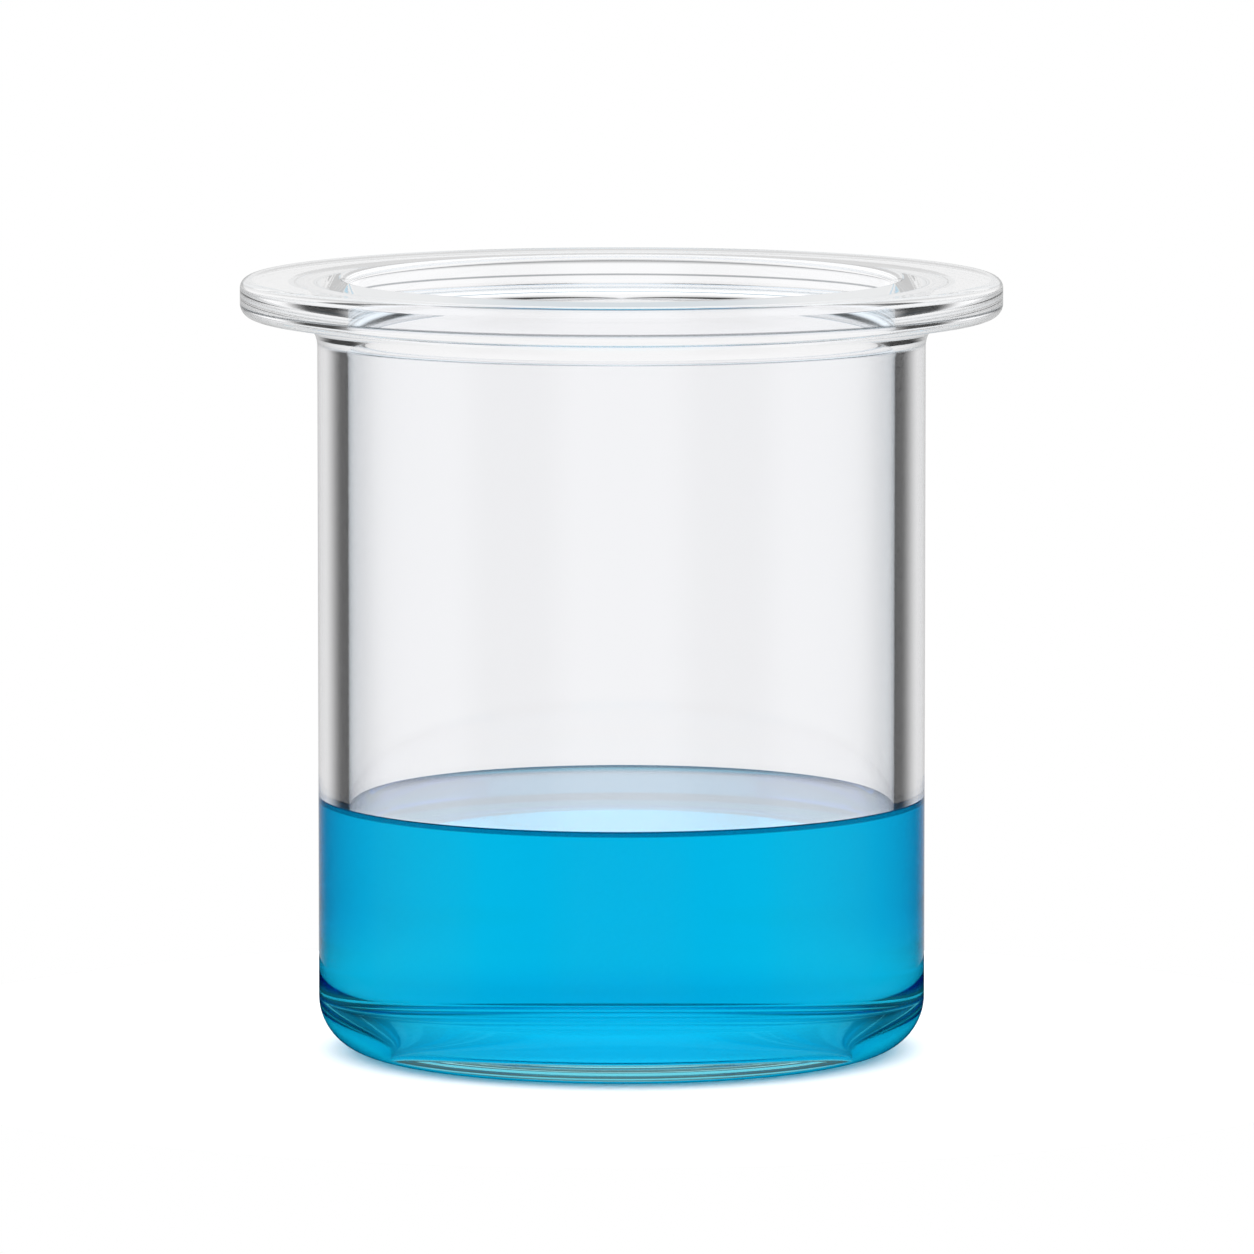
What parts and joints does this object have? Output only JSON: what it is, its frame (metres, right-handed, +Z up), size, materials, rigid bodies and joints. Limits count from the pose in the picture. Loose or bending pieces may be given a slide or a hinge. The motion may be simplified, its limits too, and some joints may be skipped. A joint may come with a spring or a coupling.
{
  "type": "crystallizing dish",
  "caption": "Deep clear glass crystallizing dish with a flat base, thick wall and wide flat flange, holding a blue solution.",
  "frame": {"origin": "centre of the underside of the base, on the surface that the dish stands on", "axes": "+Z up along the dish's own axis; X and Y lie in the base, and the dish is the same all the way round"},
  "size_m": [0.1254, 0.1254, 0.1278],
  "materials": {
    "borosilicate_glass": "polished",
    "blue_solution": "gloss"
  },
  "bodies": {
    "root": {"dish": "borosilicate_glass", "blue_solution": "blue_solution"}
  },
  "joints": []
}
